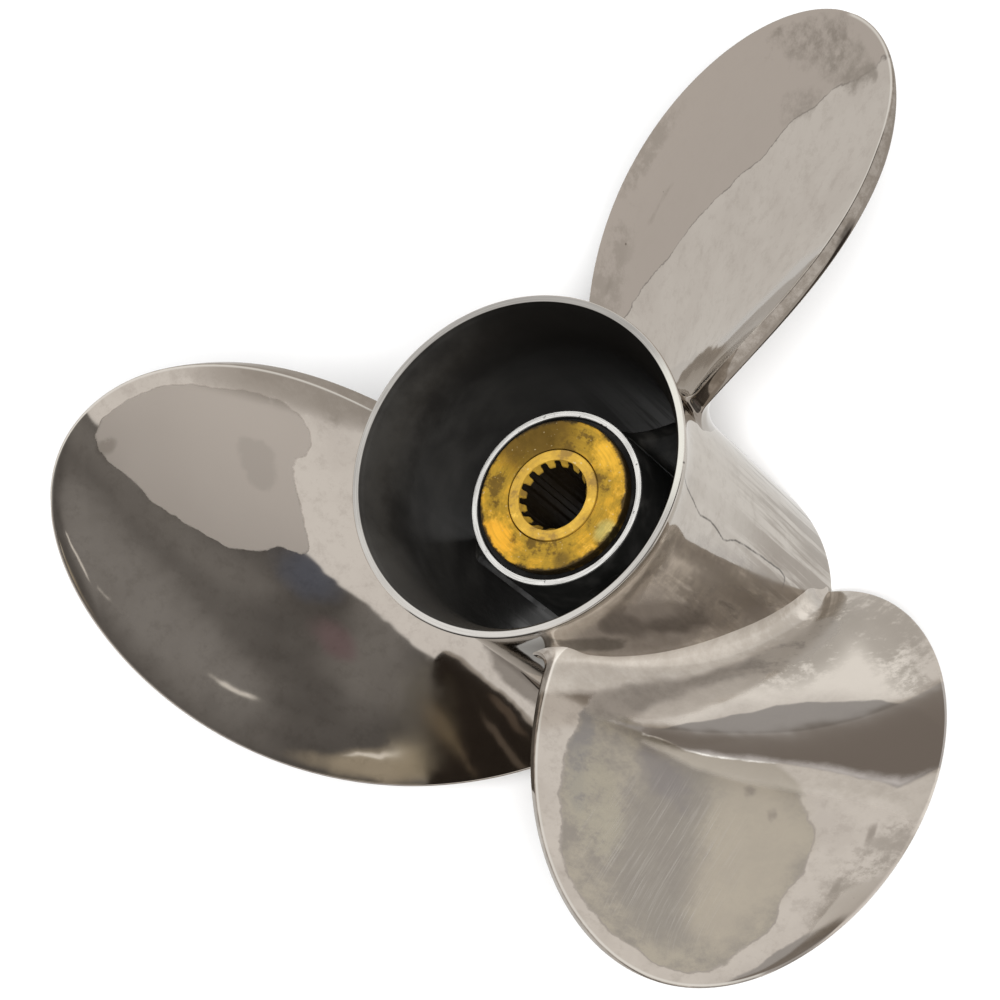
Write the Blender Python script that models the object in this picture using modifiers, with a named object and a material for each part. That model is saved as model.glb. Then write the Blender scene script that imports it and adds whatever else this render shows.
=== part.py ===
# Three-blade left-hand outboard propeller with a through-hub exhaust, as a Blender 4.5 script.
# Metres, +Z up. The shaft axis is Z, the exhaust (aft) end is up and the origin is at the centroid.
import math
import bpy

# Sizes in metres, angles in degrees.
DIAMETER = 0.356
PITCH = 0.430
BLADES = 3
BARREL_LENGTH = 0.1464
BARREL_RADIUS = 0.0507
BARREL_WALL = 0.0030
RIM_RADIUS = 0.0562
RIM_BORE_RADIUS = 0.0536
FLARE_LENGTH = 0.026
HUB_RADIUS = 0.02925
HUB_BORE_RADIUS = 0.0270
HUB_RECESS = 0.0310
HUB_BOTTOM = 0.0080
RIB_THICKNESS = 0.0050
RIB_ANGLE = 90.0
RIB_DROP = 0.0100
RIB_SWEEP = 0.0340
SLEEVE_RADIUS = 0.0151
SLEEVE_RECESS = 0.0285
SLEEVE_BOTTOM = 0.0120
SPLINE_TEETH = 15
SPLINE_MINOR_RADIUS = 0.0102
SPLINE_MAJOR_RADIUS = 0.0116
LEAD_IN_RADIUS = 0.0118
LEAD_IN_DEPTH = 0.0028
PLATE_RADIUS = 0.0252
PLATE_THICKNESS = 0.0040
GAP = 0.0003

# Blade law. y is 0 at the tip and 1 at the shaft axis.
TIP_ANGLE = 90.0
SKEW = (26.56, -1.88)
CHORD = (47.56, 26.30, -25.27)
RAKE = (0.08536, -0.09269, 0.09103)
TIP_BELOW_RIM = 0.0197
CAMBER = 0.022
TRAILING_EDGE = 0.0036
LEADING_EDGE = 0.0014
MID_THICKNESS_TIP = 0.0036
MID_THICKNESS_ROOT = 0.0085
ROOT_FILLET = 0.0070

# Height of the centroid above the forward end of the barrel.
BASE_TO_CENTROID = 0.0750

ROUND_STEPS = 84
SPAN_STEPS = 15
CHORD_STEPS = 16
EDGE_STEPS = 4

TOP = BARREL_LENGTH - BASE_TO_CENTROID
BOTTOM = -BASE_TO_CENTROID


def clear_scene():
    for old in list(bpy.data.objects):
        bpy.data.objects.remove(old, do_unlink=True)


def collection(name):
    made = bpy.data.collections.new(name)
    bpy.context.scene.collection.children.link(made)
    return made


def material(name, colour, roughness, metallic):
    made = bpy.data.materials.new(name)
    made.use_nodes = True
    shader = made.node_tree.nodes["Principled BSDF"]
    shader.inputs["Base Color"].default_value = (*colour, 1.0)
    shader.inputs["Roughness"].default_value = roughness
    shader.inputs["Metallic"].default_value = metallic
    made.diffuse_color = (*colour, 1.0)
    return made


def mesh_object(name, points, faces, home, look=None):
    mesh = bpy.data.meshes.new(name)
    mesh.from_pydata([tuple(p) for p in points], [], faces)
    mesh.validate()
    mesh.update()
    made = bpy.data.objects.new(name, mesh)
    home.objects.link(made)
    if look is not None:
        mesh.materials.append(look)
    return made


def turned(name, profile, home, look=None, steps=ROUND_STEPS):
    """A ring turned about Z. The profile is a closed loop of (radius, height), outer side first, going down."""
    points = [(r, 0.0, z) for r, z in profile]
    edges = [(i, (i + 1) % len(points)) for i in range(len(points))]
    mesh = bpy.data.meshes.new(name)
    mesh.from_pydata(points, edges, [])
    mesh.update()
    made = bpy.data.objects.new(name, mesh)
    home.objects.link(made)
    if look is not None:
        mesh.materials.append(look)
    screw = made.modifiers.new("turn", "SCREW")
    screw.axis = "Z"
    screw.angle = math.tau
    screw.steps = steps
    screw.render_steps = steps
    screw.use_merge_vertices = True
    screw.merge_threshold = 0.00001
    screw.use_smooth_shade = True
    return made


def boolean(target, other, operation):
    cut = target.modifiers.new(other.name, "BOOLEAN")
    cut.operation = operation
    cut.solver = "EXACT"
    cut.object = other
    return cut


def as_tool(part, tools):
    for home in list(part.users_collection):
        home.objects.unlink(part)
    tools.objects.link(part)
    part.hide_render = True
    part.display_type = "WIRE"


def flare(drop, base, rim):
    """Radius of the barrel at a drop below the rim: straight, then opening out as a square law."""
    reach = max(0.0, 1.0 - drop / FLARE_LENGTH)
    return base + (rim - base) * reach * reach


def barrel_profile():
    inner_base = BARREL_RADIUS - BARREL_WALL
    drops = [FLARE_LENGTH * k / 4.0 for k in range(5)]
    outer = [(RIM_RADIUS - 0.0005, TOP), (RIM_RADIUS, TOP - 0.0005)]
    outer += [(flare(d, BARREL_RADIUS, RIM_RADIUS), TOP - d) for d in drops[1:]]
    outer += [(BARREL_RADIUS, 0.0), (BARREL_RADIUS, BOTTOM + 0.0008)]
    outer += [(BARREL_RADIUS - 0.0006, BOTTOM)]
    inner = [(inner_base + 0.0006, BOTTOM), (inner_base, BOTTOM + 0.0008), (inner_base, 0.0)]
    inner += [(flare(d, inner_base, RIM_BORE_RADIUS), TOP - d) for d in reversed(drops[1:])]
    inner += [(RIM_BORE_RADIUS, TOP - 0.0004), (RIM_BORE_RADIUS + 0.0004, TOP)]
    return outer + inner


def ring_profile(outer, inner, low, high, edge):
    """A plain ring with small bevels on its four edges."""
    return [
        (outer - edge, high),
        (outer, high - edge),
        (outer, low + edge),
        (outer - edge, low),
        (inner + edge, low),
        (inner, low + edge),
        (inner, high - edge),
        (inner + edge, high),
    ]


def rib_outline():
    """Side view of one rib as (radius, height): its aft edge sweeps forward from the hub to the wall."""
    inside = HUB_RADIUS + GAP
    outside = BARREL_RADIUS - BARREL_WALL - GAP
    start = TOP - HUB_RECESS - RIB_DROP
    sweep = []
    for k in range(9):
        share = k / 8.0
        sweep.append((inside + (outside - inside) * share, start - RIB_SWEEP * share ** 0.62))
    low = BOTTOM + 0.0140
    return sweep + [(outside, low), (inside, low)]


def rib(name, angle, home, look):
    """A flat rib: its side view, thickened about its own plane and turned to its angle."""
    points = [(r, 0.0, z) for r, z in rib_outline()]
    made = mesh_object(name, points, [list(range(len(points)))], home, look)
    made.rotation_euler = (0.0, 0.0, math.radians(angle))
    thick = made.modifiers.new("thickness", "SOLIDIFY")
    thick.thickness = RIB_THICKNESS
    thick.offset = 0.0
    return made


def blade_section(radius, share):
    """Mean line of the blade at a radius. share runs from 0 at the trailing edge to 1 at the leading edge.

    The mean line lies on a left-hand screw of constant pitch, set back by the rake and turned by the skew.
    """
    tip = DIAMETER / 2.0
    y = max(0.0, 1.0 - radius / tip)
    half = math.sqrt(y) * (CHORD[0] + CHORD[1] * y + CHORD[2] * y * y)
    middle = TIP_ANGLE + SKEW[0] * y + SKEW[1] * y * y
    line = -TIP_BELOW_RIM - RAKE[0] * y - RAKE[1] * y * y - RAKE[2] * y ** 3
    angle = middle + half * (2.0 * share - 1.0)
    height = TOP + line - PITCH / 360.0 * (angle - TIP_ANGLE)
    lead = PITCH / math.tau
    chord = math.radians(2.0 * half) * math.hypot(radius, lead)
    bow = -CAMBER * chord * 4.0 * share * (1.0 - share)
    return math.radians(angle), height, bow, y


def blade_half_thickness(radius, share, y):
    """Half the thickness, a wedge with a swell in its middle, and what the root fillet adds to it."""
    edge = TRAILING_EDGE + (LEADING_EDGE - TRAILING_EDGE) * share
    root_y = 1.0 - BARREL_RADIUS / (DIAMETER / 2.0)
    middle = MID_THICKNESS_TIP + (MID_THICKNESS_ROOT - MID_THICKNESS_TIP) * y / root_y
    swell = (middle - (TRAILING_EDGE + LEADING_EDGE) / 2.0) * 4.0 * share * (1.0 - share)
    swell *= min(1.0, math.sqrt(y) * 4.0)
    above = max(0.0, min(ROOT_FILLET, radius - BARREL_RADIUS))
    left = ROOT_FILLET - above
    flared = ROOT_FILLET - math.sqrt(max(0.0, ROOT_FILLET ** 2 - left ** 2))
    ends = min(1.0, 0.35 + 4.0 * share * (1.0 - share) * 1.6)
    return edge / 2.0 + swell / 2.0, flared * ends


def blade_point(radius, share, across, turn):
    """A point of the blade's skin. across runs from 1 on the aft face through 0 to -1 on the forward face.

    Between the faces, at either end of the chord, the skin bulges past the mean line's end.
    """
    angle, height, bow, y = blade_section(radius, share)
    half, flared = blade_half_thickness(radius, share, y)
    off = bow + across * (half + flared)
    ahead = 0.0
    if share in (0.0, 1.0):
        bulge = (0.35 * half if share == 0.0 else 0.8 * half) + 0.8 * flared
        ahead = (2.0 * share - 1.0) * bulge * (1.0 - across * across)
    lead = PITCH / math.tau
    slope = math.hypot(lead, radius)
    angle += (off * lead + ahead * radius) / (slope * radius) + math.radians(turn)
    height += (off * radius - ahead * lead) / slope
    height = min(max(height, BOTTOM + 0.0010), TOP - FLARE_LENGTH - 0.0004 + (radius - BARREL_RADIUS) * 2.0)
    return (radius * math.cos(angle), radius * math.sin(angle), height)


def blade(name, turn, home, look):
    """One blade lofted outwards from the barrel's surface, ring by ring, and closed by a grid at each end."""
    tip = DIAMETER / 2.0
    radii = [BARREL_RADIUS + 0.0004]
    for k in range(1, 5):
        radii.append(BARREL_RADIUS + ROOT_FILLET * (1.0 - math.cos(math.pi / 2.0 * k / 4.0)))
    start = math.asin(ROOT_FILLET / (tip - BARREL_RADIUS)) * 2.0 / math.pi
    for k in range(1, SPAN_STEPS):
        along = start + (0.984 - start) * k / (SPAN_STEPS - 1)
        radii.append(BARREL_RADIUS + (tip - BARREL_RADIUS) * math.sin(math.pi / 2.0 * along))
    n = CHORD_STEPS
    m = EDGE_STEPS
    shares = [0.5 - 0.5 * math.cos(math.pi * k / n) for k in range(n + 1)]
    shares[0] = 0.0
    shares[n] = 1.0
    across = [1.0 - 2.0 * j / m for j in range(m + 1)]
    walk = [(k, 0) for k in range(n + 1)]
    walk += [(n, j) for j in range(1, m)]
    walk += [(k, m) for k in range(n, -1, -1)]
    walk += [(0, j) for j in range(m - 1, 0, -1)]
    count = len(walk)
    points = []
    for radius in radii:
        points += [blade_point(radius, shares[k], across[j], turn) for k, j in walk]
    faces = []
    for row in range(len(radii) - 1):
        for k in range(count):
            a = row * count + k
            b = row * count + (k + 1) % count
            faces.append((a, a + count, b + count, b))
    for row, radius in ((0, radii[0]), (len(radii) - 1, radii[-1])):
        index = {place: row * count + k for k, place in enumerate(walk)}
        for k in range(1, n):
            for j in range(1, m):
                index[(k, j)] = len(points)
                points.append(blade_point(radius, shares[k], across[j], turn))
        for k in range(n):
            for j in range(m):
                face = [index[(k, j)], index[(k + 1, j)], index[(k + 1, j + 1)], index[(k, j + 1)]]
                faces.append(tuple(face if row == 0 else reversed(face)))
    return mesh_object(name, points, faces, home, look)


def groove_cutter(name, low, high, home):
    """A star-shaped prism that cuts the grooves; between them it stays clear of the lands."""
    points = []
    pitch = math.tau / SPLINE_TEETH
    clear = SPLINE_MINOR_RADIUS - 0.0010
    for tooth in range(SPLINE_TEETH):
        for radius, share in (
            (clear, -0.30),
            (SPLINE_MAJOR_RADIUS, -0.19),
            (SPLINE_MAJOR_RADIUS, 0.19),
            (clear, 0.30),
        ):
            angle = (tooth + share) * pitch
            points.append((radius * math.cos(angle), radius * math.sin(angle), 0.0))
    made = mesh_object(name, points, [list(range(len(points)))], home)
    made.location = (0.0, 0.0, (low + high) / 2.0)
    thick = made.modifiers.new("length", "SOLIDIFY")
    thick.thickness = high - low + 0.004
    thick.offset = 0.0
    return made


def sleeve_profile(low, high):
    """The sleeve before its grooves: a ring whose bore opens in a steep lead-in cone at both ends."""
    edge = 0.0004
    return [
        (SLEEVE_RADIUS - edge, high),
        (SLEEVE_RADIUS, high - edge),
        (SLEEVE_RADIUS, low + edge),
        (SLEEVE_RADIUS - edge, low),
        (LEAD_IN_RADIUS, low),
        (SPLINE_MINOR_RADIUS, low + LEAD_IN_DEPTH),
        (SPLINE_MINOR_RADIUS, high - LEAD_IN_DEPTH),
        (LEAD_IN_RADIUS, high),
    ]


def build():
    clear_scene()
    home = collection("outboard_propeller")
    tools = collection("tools")
    steel = material("polished_stainless_steel", (0.60, 0.57, 0.53), 0.16, 1.0)
    rubber = material("bushing_rubber", (0.012, 0.011, 0.010), 0.75, 0.0)
    brass = material("tarnished_brass", (0.52, 0.34, 0.07), 0.42, 1.0)
    bright = material("sleeve_brass", (0.46, 0.31, 0.09), 0.36, 1.0)

    # The real casting is one piece. Here its barrel, hub, ribs and blades are solids set a hair apart.
    turned("barrel", barrel_profile(), home, steel)
    hub_top = TOP - HUB_RECESS
    hub_low = BOTTOM + HUB_BOTTOM
    hub = ring_profile(HUB_RADIUS, HUB_BORE_RADIUS, hub_low, hub_top, 0.0004)
    turned("inner_hub", hub, home, steel, 60)
    for k in range(BLADES):
        turn = 360.0 / BLADES * k
        rib("rib_%d" % (k + 1), RIB_ANGLE + turn, home, steel)
        blade("blade_%d" % (k + 1), turn, home, steel)

    sleeve_top = TOP - SLEEVE_RECESS
    sleeve_low = BOTTOM + SLEEVE_BOTTOM
    sleeve = turned("splined_sleeve", sleeve_profile(sleeve_low, sleeve_top), home, bright, 60)
    cutter = groove_cutter("grooves", sleeve_low, sleeve_top, tools)
    as_tool(cutter, tools)
    boolean(sleeve, cutter, "DIFFERENCE")

    bore = SLEEVE_RADIUS + GAP
    plate_top = sleeve_top - 0.0002
    plate_low = plate_top - PLATE_THICKNESS
    plate = ring_profile(PLATE_RADIUS, bore, plate_low, plate_top, 0.0003)
    turned("end_plate", plate, home, brass, 60)
    bushing = ring_profile(HUB_BORE_RADIUS - GAP, bore, sleeve_low + 0.004, plate_low - GAP, 0.0008)
    turned("rubber_bushing", bushing, home, rubber, 60)


build()
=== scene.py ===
import math

import bmesh
import bpy
import numpy as np
from mathutils import Matrix


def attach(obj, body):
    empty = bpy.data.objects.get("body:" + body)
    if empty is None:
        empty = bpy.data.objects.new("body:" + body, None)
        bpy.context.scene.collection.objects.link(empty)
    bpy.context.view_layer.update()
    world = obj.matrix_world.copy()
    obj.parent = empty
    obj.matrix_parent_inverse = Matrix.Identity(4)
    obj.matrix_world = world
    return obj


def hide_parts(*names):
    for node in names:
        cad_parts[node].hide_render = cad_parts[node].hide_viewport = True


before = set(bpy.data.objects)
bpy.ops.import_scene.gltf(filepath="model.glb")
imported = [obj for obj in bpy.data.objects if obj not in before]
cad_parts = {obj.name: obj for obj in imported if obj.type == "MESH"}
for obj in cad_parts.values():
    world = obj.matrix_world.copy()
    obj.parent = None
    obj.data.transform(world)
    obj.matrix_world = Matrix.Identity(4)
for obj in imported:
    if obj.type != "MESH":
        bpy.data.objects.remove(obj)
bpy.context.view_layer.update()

# The propeller's own sizes, in metres, and the angles of its blade law, in degrees.
TIP = 0.17785
LAW_TIP = 0.1780
PITCH = 0.430
LEAD = PITCH / math.tau
TOP = 0.0714
BOTTOM = -0.0750
BARREL = 0.0507
WALL = 0.0030
RIM = 0.0562
RIM_BORE = 0.0536
FLARE = 0.026
HUB = 0.02925
HUB_BORE = 0.0270
HUB_TOP = TOP - 0.0310
HUB_LOW = BOTTOM + 0.0080
SLEEVE = 0.0151
SLEEVE_TOP = TOP - 0.0285
SLEEVE_LOW = BOTTOM + 0.0120
TEETH = 15
LAND = 0.0102
GROOVE = 0.0116
MOUTH = 0.0118
PLATE = 0.0252
PLATE_TOP = SLEEVE_TOP - 0.0002
PLATE_LOW = PLATE_TOP - 0.0040
SKEW = (26.56, -1.88)
CHORD = (47.56, 26.30, -25.27)
RAKE = (0.08536, -0.09269, 0.09103)
TIP_DROP = 0.0197
CAMBER = 0.022
TRAILING = 0.0036
LEADING = 0.0014
THICK_TIP = 0.0036
THICK_ROOT = 0.0085
FILLET = 0.0070
LIP = 0.0018


# ---- Surfaces ----


def grid_faces(rows, columns, joined):
    """Four-sided faces of a grid, row by row. Where joined is true, the last column meets the first."""
    row = np.arange(rows - 1)[:, None]
    column = np.arange(columns if joined else columns - 1)[None, :]
    beside = (column + 1) % columns
    corners = (
        row * columns + column,
        row * columns + beside,
        (row + 1) * columns + beside,
        (row + 1) * columns + column,
    )
    return np.stack(corners, axis=-1).reshape(-1, 4)


def piece(name, points, faces, look, crease=50.0, extra=()):
    """A mesh object whose place is in its points. Its faces are turned outwards as one closed skin."""
    mesh = bpy.data.meshes.new(name)
    mesh.from_pydata(points.reshape(-1, 3).tolist(), [], faces.tolist() + [tuple(f) for f in extra])
    work = bmesh.new()
    work.from_mesh(mesh)
    bmesh.ops.recalc_face_normals(work, faces=work.faces)
    work.to_mesh(mesh)
    work.free()
    mesh.shade_smooth()
    mesh.set_sharp_from_angle(angle=math.radians(crease))
    mesh.materials.append(look)
    made = bpy.data.objects.new(name, mesh)
    bpy.context.scene.collection.objects.link(made)
    return made


def carry(mesh_object, name, values):
    """Puts a smooth value on every point of a piece, for its material to read."""
    mesh = mesh_object.data
    kind = "FLOAT_VECTOR" if values.ndim == 2 else "FLOAT"
    layer = mesh.attributes.new(name, kind, "POINT")
    layer.data.foreach_set("vector" if values.ndim == 2 else "value", values.astype(np.float32).ravel())


def smooth(x, low, high):
    """0 below low, 1 above high, and an even S between."""
    t = np.clip((x - low) / (high - low), 0.0, 1.0)
    return t * t * (3.0 - 2.0 * t)


def turned(name, profile, look, steps=288, crease=35.0):
    """A closed profile of (radius, height) carried round Z. Point (i, j) is profile point i at angle j."""
    profile = np.asarray(profile, float)
    angle = np.arange(steps) * math.tau / steps
    radius = profile[:, 0][:, None]
    points = np.stack(
        (
            radius * np.cos(angle),
            radius * np.sin(angle),
            np.broadcast_to(profile[:, 1][:, None], (len(profile), steps)),
        ),
        axis=-1,
    )
    closed = np.concatenate((points, points[:1]))
    faces = grid_faces(len(profile) + 1, steps, True) % (len(profile) * steps)
    return piece(name, closed[:-1], faces, look, crease)


def corner(x, z, size, start, count=6):
    """A quarter round about (x, z) of the given size, from the start angle on, 90 degrees clockwise."""
    angle = np.radians(start - np.linspace(0.0, 90.0, count))
    return np.stack((x + size * np.cos(angle), z + size * np.sin(angle)), axis=-1)


def ring_profile(outer, inner, low, high, edge, rows=2):
    """A ring's profile with a quarter round of the given size at each of its four corners."""
    up = np.linspace(low + edge, high - edge, rows)[:, None]
    return np.concatenate(
        (
            corner(outer - edge, high - edge, edge, 90.0),
            np.concatenate((np.full_like(up, outer), up[::-1]), axis=1)[1:-1],
            corner(outer - edge, low + edge, edge, 0.0),
            corner(inner + edge, low + edge, edge, -90.0),
            np.concatenate((np.full_like(up, inner), up), axis=1)[1:-1],
            corner(inner + edge, high - edge, edge, -180.0),
        )
    )


# ---- Barrel ----


def barrel_profile():
    """The wall from the rim down its outer side and up its bore.

    Both sides open towards the rim as a square law: radius = base + (rim - base) (1 - drop / flare)^2.
    """
    drop = np.linspace(0.0012, FLARE, 26)
    open_out = (1.0 - drop / FLARE) ** 2
    outside = np.stack((BARREL + (RIM - 0.0001 - BARREL) * open_out, TOP - drop), axis=-1)
    straight = np.linspace(TOP - FLARE - 0.004, BOTTOM + 0.0025, 40)
    side = np.stack((np.full_like(straight, BARREL), straight), axis=-1)
    bore = BARREL - WALL
    inside = np.stack((bore + (RIM_BORE - bore) * open_out, TOP - drop), axis=-1)[::-1]
    back = np.stack((np.full_like(straight, bore), straight), axis=-1)[::-1]
    lip = 0.0007
    return np.concatenate(
        (
            corner(RIM - 0.0001 - lip, TOP - lip, lip, 90.0),
            outside,
            side,
            corner(BARREL - 0.0008, BOTTOM + 0.0008, 0.0008, 0.0),
            corner(bore + 0.0008, BOTTOM + 0.0008, 0.0008, -90.0),
            back,
            inside,
            corner(RIM_BORE + 0.0005, TOP - 0.0005, 0.0005, -180.0),
        )
    )


# ---- Blades ----


def blade_law(radius, share):
    """The blade's mean surface at a radius. The share of its chord, 0 at the trailing edge and 1 at the leading, is not
    used.

    With y = 1 - radius / tip, the half chord is sqrt(y) (c0 + c1 y + c2 y^2) degrees, its middle turns by
    s0 y + s1 y^2, and its height drops by r0 y + r1 y^2 + r2 y^3, all on a left-hand screw of constant pitch.
    """
    y = np.clip(1.0 - radius / LAW_TIP, 0.0, 1.0)
    half = np.sqrt(y) * (CHORD[0] + CHORD[1] * y + CHORD[2] * y * y)
    middle = SKEW[0] * y + SKEW[1] * y * y
    height = TOP - TIP_DROP - RAKE[0] * y - RAKE[1] * y * y - RAKE[2] * y ** 3
    return y, half, middle, height


def blade_section(radius, share, side):
    """One face of a blade laid out flat: way round the axis and height, in metres, at each radius and share.

    Side is 1 on the aft face and -1 on the forward face. The half thickness is the edge's, rounded off
    within a short way of the outline, plus a swell 4 s (1 - s) in the middle. The way to the outline is
    g / |grad g|, where g = (half chord)^2 - (way from mid chord)^2. On the aft side a lip of
    (1 - way / 26 mm)^2 thickens the trailing edge, as on a cupped blade.
    """
    y, half, middle, height = blade_law(radius, share)
    slope = np.hypot(radius, LEAD)
    reach = np.radians(half) * slope
    spread = 2.0 * share - 1.0
    along = reach * spread
    g = reach ** 2 - along ** 2
    steps = np.gradient(radius[:, 0])
    grow = (np.gradient(reach[:, 0] ** 2) / steps)[:, None]
    lean = (np.gradient(np.radians(middle[:, 0]) * slope[:, 0]) / steps)[:, None]
    way = g / np.maximum(np.sqrt(4.0 * along ** 2 + (grow + 2.0 * along * lean) ** 2), 1e-6)
    blunt = smooth(y, 0.0, 0.20) * (0.5 - 0.5 * np.sin(np.clip(spread, -1.0, 1.0) * math.pi / 2.0))
    edge = (LEADING + (TRAILING - LEADING) * blunt) / 2.0
    if side > 0.0:
        edge = edge + LIP * blunt * (1.0 - np.clip(way / 0.026, 0.0, 1.0)) ** 2
    rounding = 0.0011 - 0.0007 * blunt
    power = 2.0 + 1.2 * blunt
    near = 1.0 - np.clip(way / rounding, 0.0, 1.0)
    edge = edge * (1.0 - near ** power) ** (1.0 / power)
    centre = THICK_TIP + (THICK_ROOT - THICK_TIP) * y / (1.0 - BARREL / LAW_TIP)
    swell = (centre - (TRAILING + LEADING) / 2.0) * 4.0 * share * (1.0 - share)
    swell *= np.minimum(1.0, np.sqrt(y) * 4.0)
    bow = -CAMBER * 2.0 * reach * 4.0 * share * (1.0 - share)
    off = side * (edge + swell / 2.0) + bow
    angle = middle + half * spread
    flat = np.stack(
        (np.radians(angle) * radius + off * LEAD / slope, height - PITCH / 360.0 * angle + off * radius / slope),
        axis=-1,
    )
    return flat, way, y


def root_fillet(ring, radius, size):
    """Pushes each section out, square to its outline, by a quarter round that ends flat on the barrel."""
    ahead = np.roll(ring, -1, axis=1) - np.roll(ring, 1, axis=1)
    square = np.stack((-ahead[..., 1], ahead[..., 0]), axis=-1)
    square /= np.linalg.norm(square, axis=-1, keepdims=True)
    left = size - np.clip(radius - BARREL, 0.0, size)
    return ring + square * (size - np.sqrt(size ** 2 - left ** 2))[..., None]


def blade_rows(rows=150):
    """The radii of a blade's sections, close together in the root fillet and towards the tip."""
    fillet = BARREL + FILLET * (1.0 - np.cos(np.linspace(0.0, math.pi / 2.0, 14)))
    start = math.asin((fillet[-1] - BARREL) / (TIP - BARREL))
    outer = BARREL + (TIP - BARREL) * np.sin(np.linspace(start, math.pi / 2.0, rows)[1:])
    return np.concatenate(([BARREL - 0.0012, BARREL - 0.0003], fillet, outer[:-1]))


def blade(name, turn, look, marks, columns=150):
    """A blade as two faces that share their outline, from inside the barrel's wall out to one tip point.

    Rows follow radius = barrel + (tip - barrel) sin(a). Columns follow share = (1 - cos(pi t)) / 2, where t
    is (2 u)^1.5 / 2 in the first half and its mirror in the second, so that they crowd round both edges.
    The root fillet is tight along the aft face's trailing half and full along its leading half.
    """
    radii = blade_rows()
    first = 0.5 * np.linspace(0.0, 1.0, columns // 2 + 1) ** 1.5
    share = 0.5 - 0.5 * np.cos(math.pi * np.concatenate((first, 1.0 - first[-2::-1])))
    radius, share = np.meshgrid(radii, share, indexing="ij")
    aft, way, y = blade_section(radius, share, 1.0)
    forward, _, _ = blade_section(radius, share, -1.0)
    back = slice(-2, 0, -1)
    ring = np.concatenate((aft, forward[:, back]), axis=1)
    share, y, way, radius = (np.concatenate((v, v[:, back]), axis=1) for v in (share, y, way, radius))
    on_aft = np.arange(share.shape[1])[None, :] <= columns
    size = np.where(on_aft, 0.0022 + 0.0045 * smooth(share, 0.05, 0.55), 0.0060)
    size = size + (0.0048 - size) * (1.0 - smooth(way, 0.0, 0.012)) * (share < 0.5)
    size = size * (1.0 - 0.72 * smooth(share, 0.86, 0.99))
    ring = root_fillet(ring, radius, size)
    angle = np.radians(90.0 + turn) + ring[..., 0] / radius
    height = np.clip(ring[..., 1], BOTTOM + 0.0010, TOP - 0.0050)
    points = np.stack((radius * np.cos(angle), radius * np.sin(angle), height), axis=-1)
    count = ring.shape[1]
    tip = blade_section(np.array([[TIP - 1e-5], [TIP]]), np.full((2, 1), 0.5), 0.0)[0][1, 0]
    tip_angle = math.radians(90.0 + turn) + tip[0] / TIP
    tip = [[TIP * math.cos(tip_angle), TIP * math.sin(tip_angle), tip[1]]]
    points = np.concatenate((points.reshape(-1, 3), tip))
    last = (len(radii) - 1) * count
    fan = [(last + k, last + (k + 1) % count, len(points) - 1) for k in range(count)]
    inner = np.arange(columns)
    cap = np.stack((inner, (count - inner) % count, (count - inner - 1) % count, inner + 1), axis=-1)
    cap = [tuple(dict.fromkeys(f)) for f in cap.tolist()]
    made = piece(name, points, grid_faces(len(radii), count, True), look, 55.0, fan + cap)
    place = np.stack((share, 1.0 - y, np.where(on_aft, 1.0, -1.0) + 0.0 * share), axis=-1).reshape(-1, 3)
    carry(made, "place", np.concatenate((place, [[0.5, 1.0, 1.0]])))
    blunt = (way < 0.0003) * smooth(y, 0.0, 0.05) * (1.0 - smooth(share, 0.4, 0.6))
    carry(made, "blunt_edge", np.concatenate((blunt.ravel(), [0.0])))
    carry(made, "edge_way", np.concatenate((np.minimum(way, 0.01).ravel(), [0.0])))
    scale = np.array((0.17, LAW_TIP))
    for mark, settings in marks.items():
        far = way_to(np.asarray(settings["outline"]) * scale, place[:, :2] * scale, settings.get("closed", True))
        far = np.where(place[:, 2] > 0.0, far, 0.05)
        carry(made, mark, np.concatenate((far, [0.05])))
    return made


def way_to(outline, place, closed=True):
    """How far each place lies from a drawn outline, in metres; less than 0 inside one that is closed.

    Inside is told by counting how often a ray from the place crosses the outline.
    """
    start = np.asarray(outline)
    end = np.roll(start, -1, axis=0)
    if not closed:
        start, end = start[:-1], end[:-1]
    along = end - start
    off = place[:, None] - start
    part = np.clip((off * along).sum(axis=-1) / (along ** 2).sum(axis=-1), 0.0, 1.0)
    far = np.linalg.norm(off - part[..., None] * along, axis=-1).min(axis=1)
    if closed:
        below = off[..., 1] < 0.0
        crossing = below != (place[:, None, 1] < end[:, 1])
        rise = np.where(along[:, 1] == 0.0, 1e-9, along[:, 1])
        inside = (crossing & (off[..., 0] < along[:, 0] * off[..., 1] / rise)).sum(axis=1) % 2
        far = np.where(inside == 1, -far, far)
    return far


# ---- Hub ----


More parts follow.
